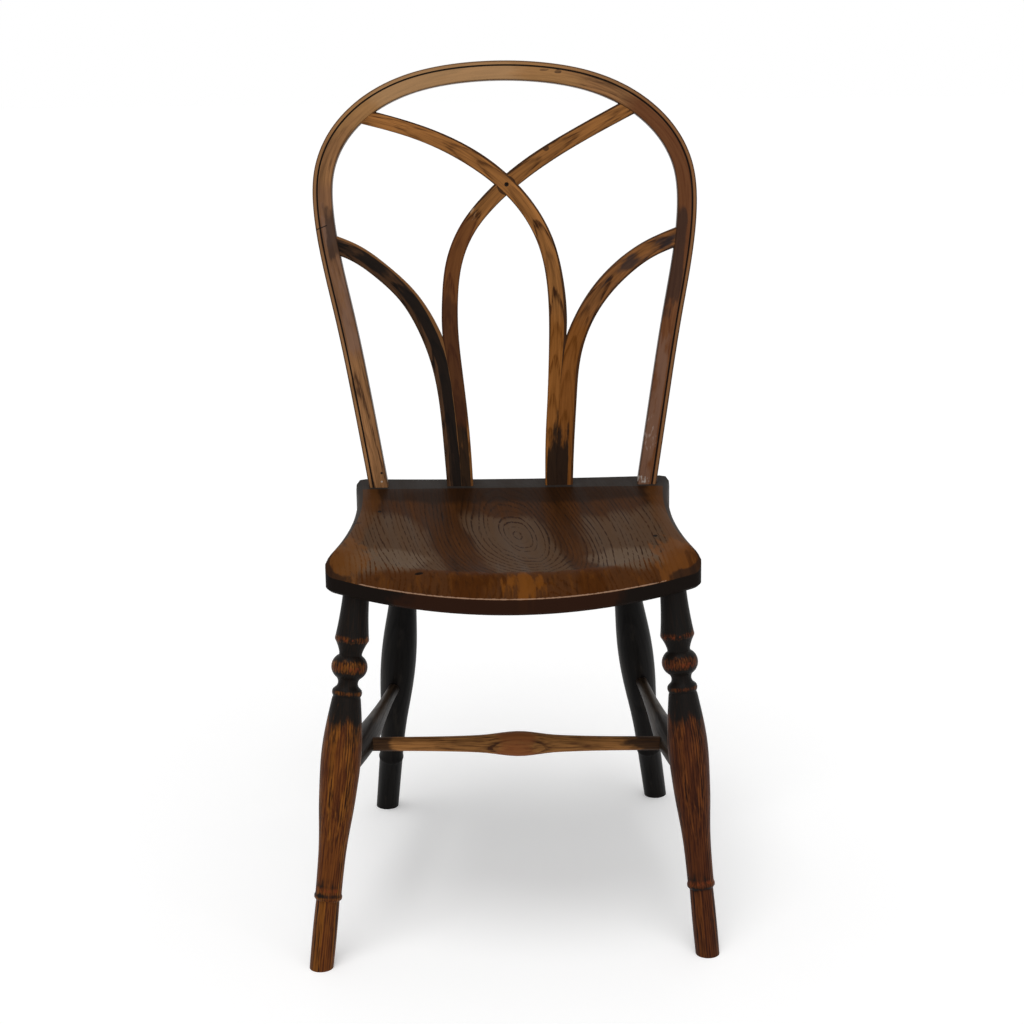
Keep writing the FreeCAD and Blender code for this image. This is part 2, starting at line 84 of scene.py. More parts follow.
def reckon(operation, *terms, **settings):
    """One step of arithmetic with numbers, in the tree that its first term is from."""
    return node(terms[0].id_data, "Math", *terms, operation=operation, **settings).outputs[0]


def shown_white(tree):
    """One for rays that meet the white background: seen, mirrored or through glass."""
    rays = node(tree, "LightPath").outputs
    seen = reckon("MAXIMUM", rays["Is Camera Ray"], rays["Is Glossy Ray"])
    return reckon("MAXIMUM", seen, rays["Is Transmission Ray"])


def paper():
    mat = bpy.data.materials.new("white_paper")
    mat.use_nodes = True
    shader = mat.node_tree.nodes["Principled BSDF"].inputs
    shader["Base Color"].default_value = (floor_grey, floor_grey, floor_grey, 1)
    shader["Roughness"].default_value = 0.9
    shader["Specular IOR Level"].default_value = 0.0
    shader["Emission Color"].default_value = (floor_glow, floor_glow, floor_glow, 1)
    mat.node_tree.links.new(shown_white(mat.node_tree), shader["Emission Strength"])
    return mat


bpy.ops.object.select_all(action="DESELECT")
bpy.ops.mesh.primitive_plane_add(size=floor_size, location=(0, 0, 0))
floor = bpy.context.object
floor.name = "floor"
floor.data.materials.append(paper())

room = bpy.data.worlds.new("room")
bpy.context.scene.world = room
room.use_nodes = True
background = room.node_tree.nodes["Background"].inputs
white = node(room.node_tree, "MapRange", shown_white(room.node_tree), 0.0, 1.0, room_light, 1.0)
room.node_tree.links.new(white.outputs[0], background["Strength"])
background["Color"].default_value = (1, 1, 1, 1)


def lamp(name, way, spread, strength):
    light = bpy.data.objects.new(name, bpy.data.lights.new(name, "SUN"))
    light.data.angle = math.radians(spread)
    light.data.energy = strength
    bpy.context.scene.collection.objects.link(light)
    light.rotation_euler = Vector(way).to_track_quat("-Z", "Y").to_euler()


lamp("key", (0.10, 0.25, -1.0), key_spread, key_light)
lamp("fill", (-0.25, 0.9, -0.55), fill_spread, fill_light)

# Seat: one thick elm plank, bell shaped in plan, hollowed with an adze and scraped.
# Its front rolls over to a worn arris, with a painted highlight along it, above a
# dark square face, and a flat strip at the back carries the bow and the pillars.
mm = 0.001
seat_at = Vector((4.2, -4.3))
seat_top, seat_under = 440.0, 403.0
seat_front, seat_shoulder_y, seat_half = -228.5, -137.0, 207.3
seat_waist, seat_corner, seat_back_middle = (181.9, 40.0), (189.8, 177.0), 169.0
shoulder_r, back_r = 24.0, 13.0
corner_search, edge_search = (100.0, 205.0), (50.0, 320.0)
under_edge, side_round, back_round, hair = 3.0, 9.0, 2.0, 0.01
front_roll, front_drop = 36.0, 18.5
dish_deep, dish_middle = 9.0, -34.5
flat_side, flat_back, flat_front = 17.0, 38.0, 28.0
dish_corners, dish_wall, dish_lip = 4, 2.3, 1.15


def circle(a, b, c):
    """The circle through three points: its centre and its radius."""
    (ax, ay), (bx, by), (cx, cy) = a, b, c
    d = 2 * (ax * (by - cy) + bx * (cy - ay) + cx * (ay - by))
    aa, bb, cc = ax ** 2 + ay ** 2, bx ** 2 + by ** 2, cx ** 2 + cy ** 2
    ux = (aa * (by - cy) + bb * (cy - ay) + cc * (ay - by)) / d
    uy = (aa * (cx - bx) + bb * (ax - cx) + cc * (bx - ax)) / d
    return Vector((ux, uy)), math.hypot(ax - ux, ay - uy)


side_centre, side_r = circle((seat_half, seat_shoulder_y), seat_waist, seat_corner)
back_centre, back_arc_r = circle((-seat_corner[0], seat_corner[1]), (0, seat_back_middle), seat_corner)
front_bend = (seat_shoulder_y - seat_front) / seat_half ** 2


def from_front(p):
    return (p.y - seat_front - front_bend * p.x ** 2) / math.hypot(1, 2 * front_bend * p.x)


def from_side(p):
    return (Vector((abs(p.x), p.y)) - side_centre).length - side_r


def from_back(p):
    return (p - back_centre).length - back_arc_r


def halve(low, high, test):
    """The place where a test that holds at low stops holding on the way to high."""
    for _ in range(40):
        middle = (low + high) / 2
        if test(middle):
            low = middle
        else:
            high = middle
    return (low + high) / 2


def front_inside(x):
    inwards = Vector((-2 * front_bend * x, 1)).normalized()
    return Vector((x, seat_front + front_bend * x * x)) + inwards * shoulder_r


def back_inside(x):
    return Vector((x, back_centre.y - math.sqrt((back_arc_r + back_r) ** 2 - x * x)))


rounds = []
for inside, r in ((front_inside, shoulder_r), (back_inside, back_r)):
    x = halve(*corner_search, lambda x: from_side(inside(x)) > r)
    centre = inside(x)
    if inside is front_inside:
        one = Vector((2 * front_bend * x, -1)).normalized()
    else:
        one = (back_centre - centre).normalized()
    rounds.append((centre, r, one, (side_centre - centre).normalized()))


def from_edge(p):
    """How far a point lies inside the outline, with its corners rounded."""
    q = Vector((abs(p.x), p.y))
    for centre, r, one, two in rounds:
        off = q - centre
        cross = one.x * two.y - one.y * two.x
        a = (off.x * two.y - off.y * two.x) / cross
        b = (one.x * off.y - one.y * off.x) / cross
        if a > 0 and b > 0:
            return r - off.length
    return min(from_front(p), from_side(p), from_back(p))


def quarter(distance, r):
    """How far a quarter round drops at a distance from its edge."""
    return 0.0 if distance >= r else r - math.sqrt(max(0.0, r * r - (r - max(distance, 0.0)) ** 2))


def seat_level(p):
    """The height of the top: rolled in front, eased at the sides and hollowed."""
    roll_r = (front_roll ** 2 + front_drop ** 2) / (2 * front_drop)
    past = front_roll - max(from_front(p), 0)
    roll = roll_r - math.sqrt(roll_r ** 2 - past ** 2) if past > 0 else 0.0
    side = quarter(from_side(p), side_round)
    drop = max((roll ** 3 + side ** 3) ** (1 / 3), quarter(from_back(p), back_round))
    across = abs(p.x) / (abs(p.x) + from_side(p) - flat_side)
    if p.y > dish_middle:
        along = (p.y - dish_middle) / (seat_back_middle - flat_back - dish_middle)
    else:
        along = (dish_middle - p.y) / (dish_middle - seat_front - flat_front)
    rim = (across ** dish_corners + abs(along) ** dish_corners) ** (1 / dish_corners)
    return seat_top - drop - dish_deep * max(0.0, 1 - rim ** dish_wall) ** dish_lip


def pick(piece, kind, test):
    """Selects the points, edges or faces that pass a test, for the next operator."""
    if bpy.context.mode != "OBJECT":
        bpy.ops.object.mode_set(mode="OBJECT")
    mesh = piece.data
    for parts in (mesh.vertices, mesh.edges, mesh.polygons):
        parts.foreach_set("select", [False] * len(parts))
    bpy.context.tool_settings.mesh_select_mode = (kind == "VERT", kind == "EDGE", kind == "FACE")
    for part in {"VERT": mesh.vertices, "EDGE": mesh.edges, "FACE": mesh.polygons}[kind]:
        part.select = test(part)
    bpy.ops.object.mode_set(mode="EDIT")


def keep_place(piece, name, values):
    """Stores one vector for each vertex, for the piece's own pattern."""
    held = piece.data.attributes.new(name, "FLOAT_VECTOR", "POINT")
    held.data.foreach_set("vector", [number for value in values for number in value])


def finish_piece(piece, name, stands_for, mat, slot, angle=35):
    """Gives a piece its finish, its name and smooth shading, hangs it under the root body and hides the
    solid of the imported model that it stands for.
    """
    piece.data.materials.append(mat)
    piece.name = name
    piece.data.name = name
    bpy.ops.object.shade_smooth_by_angle(angle=math.radians(angle))
    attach(piece, "root")
    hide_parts(stands_for)


def carve_seat():
    """Rings drawn out of one circle: up the square wall, then in over the top to its middle."""
    spokes, eye = 256, Vector((0.0, -30.0))
    near_edge = [0, 0.31, 1.2, 2.6, 4.5, 6.7, 9, 12, 16, 20, 25, 30, 36, 43, 51]
    inner_rings = 16
    rows = []
    for i in range(spokes):
        turn = 2 * math.pi * i / spokes
        way = Vector((math.cos(turn), math.sin(turn)))
        reach = halve(*edge_search, lambda d: from_edge(eye + way * d) > 0)
        steps = [reach - d for d in near_edge]
        steps += [(reach - near_edge[-1]) * (1 - j / inner_rings) for j in range(1, inner_rings)]
        rows.append([eye + way * d for d in steps])
    bpy.ops.object.select_all(action="DESELECT")
    bpy.ops.mesh.primitive_circle_add(vertices=spokes, radius=0.2, fill_type="NOTHING")
    seat = bpy.context.object
    bpy.ops.object.mode_set(mode="EDIT")
    bpy.ops.mesh.select_all(action="SELECT")
    for _ in range(2 + len(rows[0])):
        bpy.ops.mesh.extrude_edges_move()
    bpy.ops.object.mode_set(mode="OBJECT")
    mesh = seat.data
    places = []
    for n, v in enumerate(mesh.vertices):
        ring = n // spokes
        i = round(math.atan2(v.co.y, v.co.x) / (2 * math.pi) * spokes) % spokes
        edge = rows[i][0]
        arris = seat_level(edge)
        if ring == 0:
            spot = edge + (eye - edge).normalized() * under_edge
            v.co = (spot.x, spot.y, seat_under)
            off = seat_under - arris - under_edge
        elif ring == 1:
            v.co = (edge.x, edge.y, seat_under + under_edge)
            off = seat_under + under_edge - arris
        elif ring == 2:
            v.co = (edge.x, edge.y, arris - hair)
            off = 0.0
        else:
            spot = rows[i][ring - 3]
            v.co = (spot.x, spot.y, seat_level(spot))
            off = (edge - spot).length
        spot = Vector(v.co.xy)
        places.append((off, from_front(spot), from_side(spot)))
        v.co = ((v.co.x + seat_at.x) * mm, (v.co.y + seat_at.y) * mm, v.co.z * mm)
    keep_place(seat, "edge", places)
    rim = set(range(spokes))
    core = set(range(len(mesh.vertices) - spokes, len(mesh.vertices)))
    pick(seat, "EDGE", lambda e: set(e.vertices) <= rim)
    bpy.ops.mesh.edge_face_add()
    pick(seat, "EDGE", lambda e: set(e.vertices) <= core)
    bpy.ops.mesh.merge(type="CENTER")
    bpy.ops.mesh.select_all(action="SELECT")
    bpy.ops.mesh.normals_make_consistent(inside=False)
    bpy.ops.object.mode_set(mode="OBJECT")
    return seat


def vector(operation, *terms):
    """One step of arithmetic with vectors. A length comes out as a number."""
    made = node(terms[0].id_data, "VectorMath", *terms, operation=operation)
    return made.outputs["Value" if operation == "LENGTH" else "Vector"]


def apart(source):
    """The three numbers of a vector."""
    return node(source.id_data, "SeparateXYZ", source).outputs


def noise(place, scale, detail, rough=0.5):
    return node(place.id_data, "TexNoise", place, None, scale, detail, rough).outputs


def ranged(source, low, high, a=0.0, b=1.0, way="LINEAR"):
    """Runs from a to b while its source runs from low to high, and no further."""
    return node(source.id_data, "MapRange", source, low, high, a, b, interpolation_type=way).outputs[0]


def between(*terms):
    return ranged(*terms, way="SMOOTHSTEP")


def times(mask, *others):
    """A mask where all of the given ones are."""
    for other in others:
        mask = reckon("MULTIPLY", mask, other)
    return mask


def most_of(mask, *others):
    """A mask where any of the given ones is."""
    for other in others:
        mask = reckon("MAXIMUM", mask, other)
    return mask


def apart_from(source, middle):
    return reckon("ABSOLUTE", reckon("SUBTRACT", source, middle))


def mixed(share, a, b):
    return node(share.id_data, "Mix", share, *[None] * 5, a, b, data_type="RGBA").outputs[2]


def ramp(source, stops):
    """Grey stops that a source runs over: pairs of place and strength, the first at nought."""
    made = node(source.id_data, "ValToRGB", source)
    parts = made.color_ramp.elements
    parts.remove(parts[-1])
    parts[0].color = (stops[0][1], stops[0][1], stops[0][1], 1)
    for place, value in stops[1:]:
        parts.new(place).color = (value, value, value, 1)
    return made.outputs[0]


def new_group(name, given, made):
    """A node group with named inputs and outputs: returns it and what it is given."""
    group = bpy.data.node_groups.new(name, "ShaderNodeTree")
    for way, sockets in (("INPUT", given), ("OUTPUT", made)):
        for label, kind in sockets.items():
            group.interface.new_socket(label, in_out=way, socket_type="NodeSocket" + kind)
    return group, group.nodes.new("NodeGroupInput").outputs


def give_out(group, *sources):
    end = group.nodes.new("NodeGroupOutput")
    for place, source in enumerate(sources):
        group.links.new(source, end.inputs[place])


def old_wood_group():
    """Grain of old wood: yearly rings about a pith, fibres along it and pores."""
    group, given = new_group("old_wood", {
        "Grain": "Vector", "Pale": "Color", "Dark": "Color", "Ring": "Float", "Pith": "Vector",
        "Wander": "Float", "Figure": "Float", "Fibre": "Float", "Taper": "Float"},
        {"Color": "Color", "Height": "Float", "Mottle": "Float", "Line": "Float"})
    grain = given["Grain"]
    long_way = vector("MULTIPLY", grain, (1, 1, 0.09))
    push = vector("SUBTRACT", noise(long_way, 28.0, 2.0)["Color"], (0.5, 0.5, 0.5))
    push = vector("SCALE", push, None, None, given["Wander"])
    x, y, _ = apart(vector("SUBTRACT", vector("ADD", long_way, push), given["Pith"]))
    radius = vector("LENGTH", node(group, "CombineXYZ", x, y).outputs[0])
    cone = reckon("MULTIPLY_ADD", apart(grain)[2], given["Taper"], radius)
    count = reckon("DIVIDE", cone, given["Ring"])
    line = ramp(reckon("FRACT", count), [(0.0, 0.12), (0.25, 0.0), (0.58, 0.22), (0.80, 1.0),
                                         (0.93, 0.9), (1.0, 0.12)])
    uneven = node(group, "TexWhiteNoise", None, reckon("FLOOR", count), noise_dimensions="1D")
    broken = noise(vector("MULTIPLY", grain, (1, 1, 0.12)), 700.0, 2.0)[0]
    line = times(line, ranged(uneven.outputs["Value"], 0.0, 1.0, 0.35), ranged(broken, 0.36, 0.56, 0.3))
    thin = vector("MULTIPLY", grain, (1, 1, 0.045))
    fibre = ranged(noise(thin, 520.0, 3.0, 0.6)[0], 0.42, 0.66)
    pores = ranged(noise(thin, 1500.0, 1.0)[0], 0.60, 0.70)
    mottle = noise(long_way, 60.0, 3.0)[0]
    shade = reckon("ADD", times(line, given["Figure"]), times(fibre, given["Fibre"]), use_clamp=True)
    shade = reckon("MAXIMUM", shade, times(pores, line), use_clamp=True)
    color = mixed(shade, given["Pale"], given["Dark"])
    color = vector("SCALE", color, None, None, ranged(mottle, 0.3, 0.7, 0.66, 1.34))
    give_out(group, color, times(shade, -1.0), mottle, line)
    return group


def patch_group():
    """One colour worn or stained through to another where a ragged mask says."""
    group, given = new_group("ragged_patch", {
        "Grain": "Vector", "Color": "Color", "Patch": "Color", "Mask": "Float", "Ragged": "Float",
        "Size": "Float", "Most": "Float"}, {"Color": "Color"})
    torn = noise(vector("MULTIPLY", given["Grain"], (1, 1, 0.3)), given["Size"], 4.0, 0.6)[0]
    torn = times(reckon("SUBTRACT", torn, 0.5), given["Ragged"], 4.0)
    mask = between(reckon("ADD", torn, given["Mask"]), 0.3, 0.7)
    mask = times(mask, ranged(given["Mask"], 0.0, 0.12), given["Most"])
    give_out(group, mixed(mask, given["Color"], given["Patch"]))
    return group


old_wood, ragged_patch = old_wood_group(), patch_group()


class Wood:
    """A wooden finish in the making: its material, its grain and its colour so far."""

    def __init__(self, name, sheen=0.05):
        self.mat = bpy.data.materials.new(name)
        self.mat.use_nodes = True
        self.tree = self.mat.node_tree
        self.shader = self.tree.nodes["Principled BSDF"].inputs
        self.shader["Specular IOR Level"].default_value = sheen

    def place(self):
        return node(self.tree, "TexCoord").outputs["Object"]

    def kept(self, name):
        """One of the piece's own vectors, which keep_place has stored."""
        return node(self.tree, "Attribute", attribute_name=name).outputs["Vector"]

    def grow(self, pale, dark, ring, pith, wander, figure, fibre, taper=0.0, grain=None):
        """Rings of a width about a pith, in two colours, along the piece's own grain."""
        self.grain = self.kept("grain") if grain is None else grain
        made = node(self.tree, "Group", self.grain, (*pale, 1), (*dark, 1), ring, pith, wander, figure,
                    fibre, taper, node_tree=old_wood)
        self.color, self.height, self.mottle, self.line = made.outputs

    def patch(self, tint, mask, ragged, size, most, grain=None):
        """Lays a tint over the colour: how ragged, how finely torn and at most how strong."""
        grain = self.grain if grain is None else grain
        made = node(self.tree, "Group", grain, self.color, (*tint, 1), mask, ragged, size, most,
                    node_tree=ragged_patch)
        self.color = made.outputs["Color"]

    def cover(self, rough, height, bump, deep):
        """Joins the colour, a roughness and a relief to the shader."""
        relief = node(self.tree, "Bump", bump, deep, None, height).outputs[0]
        for name, source in (("Base Color", self.color), ("Roughness", rough), ("Normal", relief)):
            self.tree.links.new(source, self.shader[name])
        return self.mat

    def polish(self, gloss=0.40, bump=0.25):
        """Old polish, duller and a little sunk in the dark lines of the grain."""
        return self.cover(ranged(self.height, -1.0, 0.0, gloss + 0.12, gloss), self.height, bump, 0.0003)


def spot(place, centre, size, soft=0.2, full=1.0):
    """A mask over one oval mark, from its middle and half sizes in millimetres."""
    off = vector("SUBTRACT", place, [c * mm for c in centre])
    off = vector("LENGTH", vector("DIVIDE", off, [c * mm for c in size]))
    return between(off, 1 + soft, 1 - soft, 0.0, full)


strip_grey = (0.024, 0.021, 0.019)
nose_spots = (((15.0, -217.0, 425.0), (20.0, 17.0, 30.0), (0.185, 0.060, 0.008), 0.6),
              ((-176.0, -128.0, 428.0), (26.0, 50.0, 30.0), (0.150, 0.056, 0.013), 0.55),
              ((178.0, -130.0, 428.0), (22.0, 50.0, 30.0), (0.150, 0.052, 0.012), 0.6))
dents = (((-96.0, -187.0, 436.0), (4.6, 2.6, 20.0)), ((-149.0, 36.0, 436.0), (2.2, 4.0, 20.0)),
         ((162.0, -69.0, 436.0), (2.6, 4.0, 20.0)), ((-176.0, -11.0, 440.0), (9.0, 1.6, 20.0)))


def seat_wood():
    """Dark elm: painted grey sheen in the hollow where one sits, brown at its front, black at its
    corners, and a worn arris with a painted highlight.
    """
    elm = Wood("seat_elm", 0.007)
    place = elm.place()
    x, y, z = apart(place)
    slant = reckon("MULTIPLY_ADD", y, 0.14, x)
    flat = node(elm.tree, "CombineXYZ", slant, None, y).outputs[0]
    pith = node(elm.tree, "CombineXYZ", 0.004, reckon("MULTIPLY_ADD", y, 0.30, 0.4425)).outputs[0]
    elm.grow((0.046, 0.016, 0.004), (0.009, 0.004, 0.002), 0.0050, pith, 0.020, 0.75, 0.25,
             grain=node(elm.tree, "CombineXYZ", slant, z, y).outputs[0])
    inward, from_nose, from_flank = apart(elm.kept("edge"))
    wide = apart_from(x, 0.0)
    # Painted sheen: the grey reflection in the hollow, laid on as colour over the wood and kept off its
    # dark ring lines.
    wear_and_sheen = times(between(apart_from(slant, -0.073), 0.0, 0.052, 0.12),
                   between(apart_from(slant, 0.060), 0.0, 0.042, 0.25),
                   between(y, 0.090, -0.030), between(elm.line, 0.6, 0.1, 0.25))
    elm.patch((0.088, 0.052, 0.029), wear_and_sheen, 0.45, 16.0, 0.66)
    deep = times(between(y, 0.045, 0.110), between(y, 0.131, 0.122))
    elm.patch((0.013, 0.006, 0.003), deep, 0.2, 20.0, 0.75)
    elm.patch((0.100, 0.037, 0.010), between(from_flank, 40, 8), 0.40, 26.0, 0.5, flat)
    elm.patch((0.063, 0.018, 0.003), between(from_nose, 50, 24), 0.45, 30.0, 0.75, flat)
    streak = times(between(from_nose, 48, 25, 0.0, 0.30), between(inward, -1.0, 0.0))
    elm.patch((0.022, 0.008, 0.003), streak, 0.55, 210.0, 0.55, flat)
    elm.patch((0.125, 0.042, 0.007), streak, 0.50, 95.0, 0.45, flat)
    for side in (-1, 1):
        sheen = spot(place, (side * 132.0, -138.0, 430.0), (42.0, 34.0, 40.0), 0.8)
        elm.patch((0.122, 0.080, 0.050), times(sheen, between(elm.line, 0.6, 0.1, 0.2)), 0.35, 24.0, 0.7)
    for centre, size, tint, most in nose_spots:
        elm.patch(tint, spot(place, centre, size, 0.9), 0.60, 110.0, most, flat)
    elm.patch(strip_grey, between(y, 0.1235, 0.1275), 0.12, 60.0, 0.9)
    brink = times(between(from_flank, 8.5, 5.0), between(y, -0.150, -0.040))
    elm.patch(strip_grey, brink, 0.15, 50.0, 0.85)
    corner = times(between(wide, 0.150, 0.200), between(inward, 9.0, 1.5), between(from_nose, 44, 30))
    elm.patch((0.018, 0.011, 0.008), corner, 0.5, 60.0, 0.8)
    face = between(inward, -0.3, -1.4)
    elm.patch((0.024, 0.010, 0.006), face, 0.25, 40.0, 0.95)
    elm.patch((0.0085, 0.007, 0.006), times(face, between(wide, 0.07, 0.16)), 0.35, 30.0, 0.9)
    # The worn front arris: paler wood, with a painted highlight along it.
    worn = times(between(reckon("ABSOLUTE", inward), 0.75, 0.2), between(from_nose, 8.0, 2.0),
                 between(wide, 0.175, 0.145))
    elm.patch((0.38, 0.23, 0.15), worn, 0.70, 260.0, 0.75)
    dented = most_of(*[spot(place, centre, size) for centre, size in dents])
    elm.patch((0.006, 0.004, 0.003), dented, 0.1, 300.0, 0.95)
    return elm.cover(between(elm.mottle, 0.3, 0.7, 0.38, 0.52), reckon("SUBTRACT", elm.height, dented),
                     0.35, 0.0004)


finish_piece(carve_seat(), "seat_plank", "seat", seat_wood(), "seat_elm", 30)

# Legs: ash turned on a lathe between centres. The front pair have a shoulder, a
# ball, a cove and a collar above a long swell and a ring near the foot.
leg_places = {"front_left": ((-166.2, -145.8), (-211.5, -234.6)),
              "front_right": ((176.9, -145.8), (213.3, -212.6)),
              "back_left": ((-118.8, 92.2), (-159.8, 207.2)),
              "back_right": ((127.2, 92.2), (180.5, 232.8))}
ring_up, ring_width, leg_swell_r = 76.0, 7.0, 22.0
leg_spare, longest_turning = 15.0, 420.0
leg_sides, arc_steps, swell_steps = 56, 10, 36


def share(a, b, t):
    return a + (b - a) * t


def reaches(points):
    """How far along a line each of its points lies."""
    at = [0.0]
    for a, b in zip(points, points[1:]):
        at.append(at[-1] + math.hypot(b[0] - a[0], b[1] - a[1]))
    return at


def smooth_rows(rows, steps):
    """A smooth line through rows of numbers, spaced by the length of their first two."""
    at, n = reaches(rows), len(rows)
    bends = []
    for k in range(len(rows[0])):
        upper, right_side = [0.0] * n, [0.0] * n
        for i in range(1, n - 1):
            h0, h1 = at[i] - at[i - 1], at[i + 1] - at[i]
            pull = 6 * ((rows[i + 1][k] - rows[i][k]) / h1 - (rows[i][k] - rows[i - 1][k]) / h0)
            m = 2 * (h0 + h1) - h0 * upper[i - 1]
            upper[i] = h1 / m
            right_side[i] = (pull - h0 * right_side[i - 1]) / m
        second = [0.0] * n
        for i in range(n - 2, 0, -1):
            second[i] = right_side[i] - upper[i] * second[i + 1]
        bends.append(second)
    made = []
    for j in range(steps + 1):
        t = at[-1] * j / steps
        i = min(max(k for k in range(n) if at[k] <= t + 1e-9), n - 2)
        h = at[i + 1] - at[i]
        a, b = (at[i + 1] - t) / h, (t - at[i]) / h
        made.append([a * rows[i][k] + b * rows[i + 1][k] + ((a ** 3 - a) * bends[k][i]
                     + (b ** 3 - b) * bends[k][i + 1]) * h * h / 6 for k in range(len(rows[0]))])
    return made


def turning(steps):
    """Radius and distance down the axis, from straight cuts, hollows or beads and swells."""
    points = [steps[0]]
    for kind, *numbers in steps[1:]:
        a, b = points[-1], tuple(numbers[-2:])
        if kind == "line":
            points.append(b)
        elif kind == "arc":
            centre, r = circle(a, numbers[:2], b)
            turns = [math.atan2(p[1] - centre.y, p[0] - centre.x) for p in (a, numbers[:2], b)]
            for i in (1, 2):
                while turns[i] - turns[i - 1] > math.pi:
                    turns[i] -= 2 * math.pi
                while turns[i] - turns[i - 1] < -math.pi:
                    turns[i] += 2 * math.pi
            for i in range(1, arc_steps + 1):
                turn = share(turns[0], turns[2], i / arc_steps)
                points.append((centre.x + r * math.cos(turn), centre.y + r * math.sin(turn)))
        else:
            points += [tuple(p) for p in smooth_rows([a] + numbers[0] + [b], swell_steps)[1:]]
    return points


def drawn_line(name, points):
    """A curve object of straight runs through points in three dimensions."""
    line = bpy.data.curves.new(name, "CURVE")
    line.dimensions = "3D"
    spline = line.splines.new("POLY")
    spline.points.add(len(points) - 1)
    for spot, place in zip(spline.points, points):
        spot.co = (*place, 1)
    drawn = bpy.data.objects.new(name, line)
    bpy.context.scene.collection.objects.link(drawn)
    return drawn


def take_up(piece):
    """Selects one piece alone, for the next operator."""
    bpy.ops.object.select_all(action="DESELECT")
    piece.select_set(True)
    bpy.context.view_layer.objects.active = piece


def spin_piece(points, sides):
    """A turned piece about the down axis, from its outline in millimetres."""
    ends = [(0.0, points[0][1])] + list(points) + [(0.0, points[-1][1])]
    piece = drawn_line("outline", [(max(r, 0.0) * mm, 0, -z * mm) for r, z in ends])
    take_up(piece)
    bpy.ops.object.convert(target="MESH")
    bpy.ops.object.mode_set(mode="EDIT")
    bpy.ops.mesh.select_all(action="SELECT")
    bpy.ops.mesh.spin(steps=sides, angle=2 * math.pi, center=(0, 0, 0), axis=(0, 0, 1))
    bpy.ops.mesh.select_all(action="SELECT")
    bpy.ops.mesh.remove_doubles(threshold=0.00001)
    bpy.ops.mesh.normals_make_consistent(inside=False)
    bpy.ops.object.mode_set(mode="OBJECT")
    return piece


def set_on(piece, a, b):
    """Keeps the lathe's own directions for the grain, then puts the piece on its axis."""
    keep_place(piece, "grain", [tuple(v.co) for v in piece.data.vertices])
    a, b = Vector(a) * mm, Vector(b) * mm
    turn = Vector((0, 0, -1)).rotation_difference(b - a)
    piece.data.transform(Matrix.Translation(a) @ turn.to_matrix().to_4x4())
    piece.data.update()


def cut_flat(piece, level, up):
    """Saws a piece off level: up keeps what is above, and otherwise what is below."""
    pick(piece, "FACE", lambda f: True)
    bpy.ops.mesh.bisect(plane_co=(0, 0, level), plane_no=(0, 0, 1), clear_inner=up, clear_outer=not up,
                        use_fill=True)
    bpy.ops.object.mode_set(mode="OBJECT")


def swelling(rise, fall, radii, start, end):
    """Points of a swell from shares: of its three radii, and of the way down it."""
    rows = [(share(radii[0], radii[1], r), t) for r, t in rise]
    rows += [(share(radii[1], radii[2], r), t) for r, t in fall]
    return [(r, share(start, end, t)) for r, t in rows]


def front_outline(length):
    ring = length - ring_up
    rise = [(0.50, 0.116), (0.90, 0.223), (1.0, 0.316)]
    fall = [(0.14, 0.442), (0.36, 0.563), (0.66, 0.674), (0.88, 0.781), (0.97, 0.888)]
    shaft = swelling(rise, fall, (16.4, leg_swell_r, 14.4), 117.0, ring - ring_width)
    shoulder = [("arc", 15.5, 23.0, 18.3, 49.0), ("arc", 18.6, 51.5, 17.6, 54.0),
                ("arc", 14.4, 60.6, 12.5, 66.5), ("line", 12.5, 69.0)]
    ball = [("arc", 19.8, 82.0, 14.3, 93.2)]
    cove = [("arc", 10.9, 99.0, 12.2, 103.5), ("line", 15.4, 106.5)]
    collar = [("arc", 16.4, 109.5, 15.7, 113.0), ("line", 14.9, 114.5), ("line", 15.8, 117.0)]
    foot = [("line", 15.1, ring - ring_width + 1.8), ("arc", 15.4, ring - 3.5, 15.0, ring - 1.2),
            ("line", 12.9, ring + 1.2), ("arc", 13.3, ring + 22, 12.7, length + leg_spare)]
    return turning([(14.3, -leg_spare), *shoulder, *ball, *cove, *collar,
                    ("curve", shaft, 14.4, ring - ring_width), *foot])


def back_outline(length):
    ring = length - ring_up
    rise = [(0.08, 0.089), (0.25, 0.237), (0.55, 0.361), (0.87, 0.467), (1.0, 0.568)]
    fall = [(0.06, 0.636), (0.30, 0.719), (0.68, 0.814), (0.92, 0.902)]
    shaft = swelling(rise, fall, (12.8, 21.3, 14.5), 0.0, ring - ring_width)
    return turning([(12.8, -leg_spare), ("curve", shaft, 14.5, ring - ring_width),
                    ("line", 15.1, ring - ring_width + 2), ("arc", 15.3, ring - 3.5, 15.1, ring - 1.5),
                    ("line", 14.4, ring + 0.5), ("line", 13.7, length + leg_spare)])


def bands(along, stops):
    """A mask down a turned piece: pairs of distance in millimetres and strength."""
    reach = reckon("MULTIPLY", along, -1000.0 / longest_turning)
    return ramp(reach, [(place / longest_turning, value) for place, value in stops])


